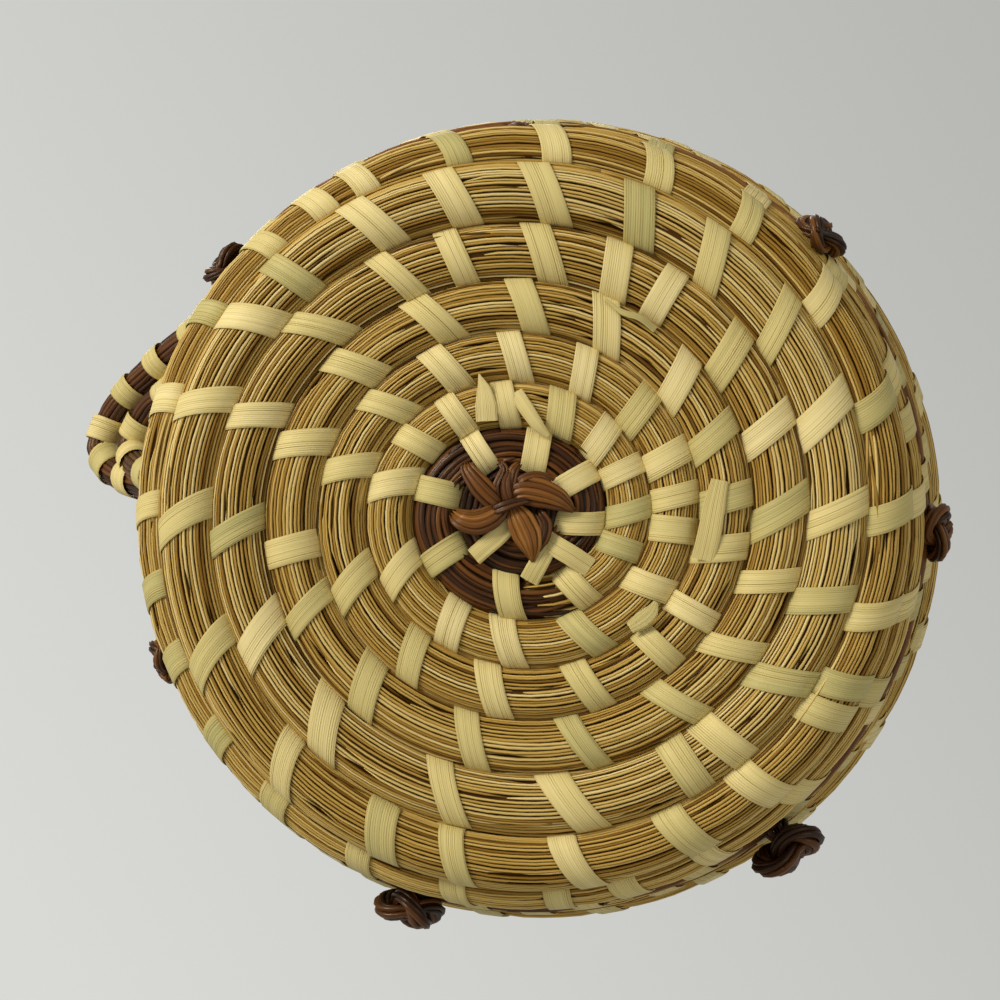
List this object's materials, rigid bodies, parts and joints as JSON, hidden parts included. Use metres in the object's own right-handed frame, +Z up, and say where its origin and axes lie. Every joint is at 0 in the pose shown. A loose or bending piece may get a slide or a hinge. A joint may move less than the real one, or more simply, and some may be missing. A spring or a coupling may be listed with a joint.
{
  "type": "coiled sweetgrass basket",
  "caption": "Round open basket coiled from a grass bundle bound with palmetto strip, with a flared wall, a knot under its base, needle knots round the wall and an ear handle.",
  "frame": {"origin": "centre of the basket's base, on the flat underside of the start knot, where it rests", "axes": "+Z up along the basket's axis, the open mouth upwards; the ear handle lies towards -X"},
  "size_m": [0.2098, 0.1874, 0.0872],
  "materials": {
    "sweetgrass": "satin dry grass",
    "pine_needles": "satin dry pine needles",
    "palmetto_strip": "matte dry leaf"
  },
  "bodies": {
    "root": {"base_coil": "sweetgrass", "wall_coil": "sweetgrass", "upper_coil": "sweetgrass", "rim_coil": "sweetgrass", "start_coil": "pine_needles", "band_coil": "pine_needles", "start_knot": "pine_needles", "wall_knot_1": "pine_needles", "wall_knot_2": "pine_needles", "wall_knot_3": "pine_needles", "wall_knot_4": "pine_needles", "wall_knot_5": "pine_needles", "wall_knot_6": "pine_needles", "wall_knot_7": "pine_needles", "handle_outer_coil": "pine_needles", "handle_inner_coil": "pine_needles", "start_binding": "palmetto_strip", "base_binding": "palmetto_strip", "foot_binding": "palmetto_strip", "wall_binding": "palmetto_strip", "band_binding": "palmetto_strip", "upper_binding": "palmetto_strip", "rim_binding": "palmetto_strip", "handle_outer_binding": "palmetto_strip", "handle_inner_binding": "palmetto_strip"}
  },
  "joints": []
}
